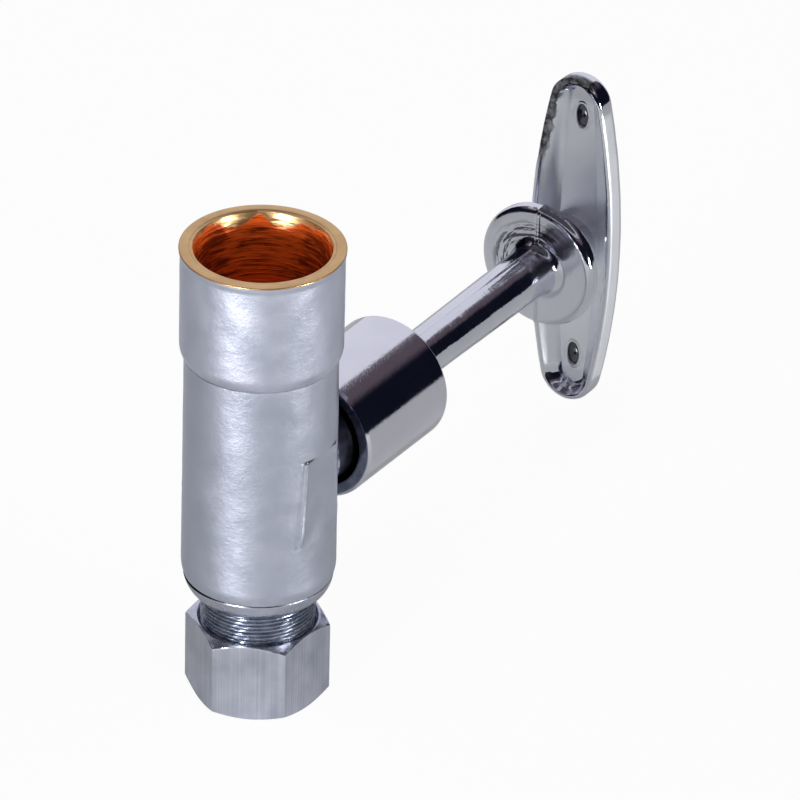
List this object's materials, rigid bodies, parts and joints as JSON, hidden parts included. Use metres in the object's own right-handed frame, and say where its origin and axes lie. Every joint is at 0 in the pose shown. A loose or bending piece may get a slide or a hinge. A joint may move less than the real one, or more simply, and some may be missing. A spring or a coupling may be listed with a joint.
{
  "type": "isolating valve",
  "caption": "Quarter-turn isolating ball valve with a solder socket, a compression end with nut and olive, and a long T-handle in a chrome sleeve.",
  "frame": {"origin": "on the pipes' axis at the stop that the smaller pipe's end comes up against in the compression end", "axes": "+Z along the pipes towards the solder socket, +Y along the stem towards the handle"},
  "size_m": [0.0284, 0.1174, 0.0882],
  "materials": {
    "body_chrome": "satin chrome plate over a forging",
    "connector_chrome": "chrome plate over turned brass",
    "nut_chrome": "satin chrome plate over drawn hexagon bar",
    "sleeve_chrome": "bright chrome plate",
    "handle_chrome": "bright chrome plate over a casting",
    "ball_chrome": "polished chrome plate",
    "seat_plastic": "white sealing plastic",
    "seal_rubber": "black sealing rubber",
    "raw_brass": "turned brass",
    "pin_steel": "plain steel"
  },
  "bodies": {
    "valve": {"valve_body": "body_chrome", "end_connector": "connector_chrome", "connector_o_ring": "seal_rubber", "upper_seat": "seat_plastic", "lower_seat": "seat_plastic", "thrust_washer": "seat_plastic", "packing_ring": "seat_plastic", "gland_ring": "raw_brass", "gland_nut": "raw_brass"},
    "handle": {"ball": "ball_chrome", "stem": "raw_brass", "stem_o_ring": "seal_rubber", "drive_pin": "pin_steel", "t_handle": "handle_chrome", "sleeve": "sleeve_chrome", "grub_screw": "pin_steel"},
    "nut_carrier": {"olive": "raw_brass"},
    "nut": {"compression_nut": "nut_chrome"}
  },
  "joints": [
    {"name": "handle_turn", "type": "hinge", "parent": "valve", "child": "handle", "pos_m": [0, 0, 0.0176], "axis": [0, -1, 0], "range_deg": [0, 90]},
    {"name": "nut_travel", "type": "slide", "parent": "valve", "child": "nut_carrier", "axis": [0, 0, 1], "range_m": [-0.0015, 0.0038]},
    {"name": "nut_turn", "type": "hinge", "parent": "nut_carrier", "child": "nut", "pos_m": [0, 0, -0.0135], "axis": [0, 0, 1], "range_deg": [-359, 911]}
  ],
  "couplings": [
    {"joint": "nut_travel", "follows": "nut_turn", "m_per_rad": 0.00023873}
  ]
}
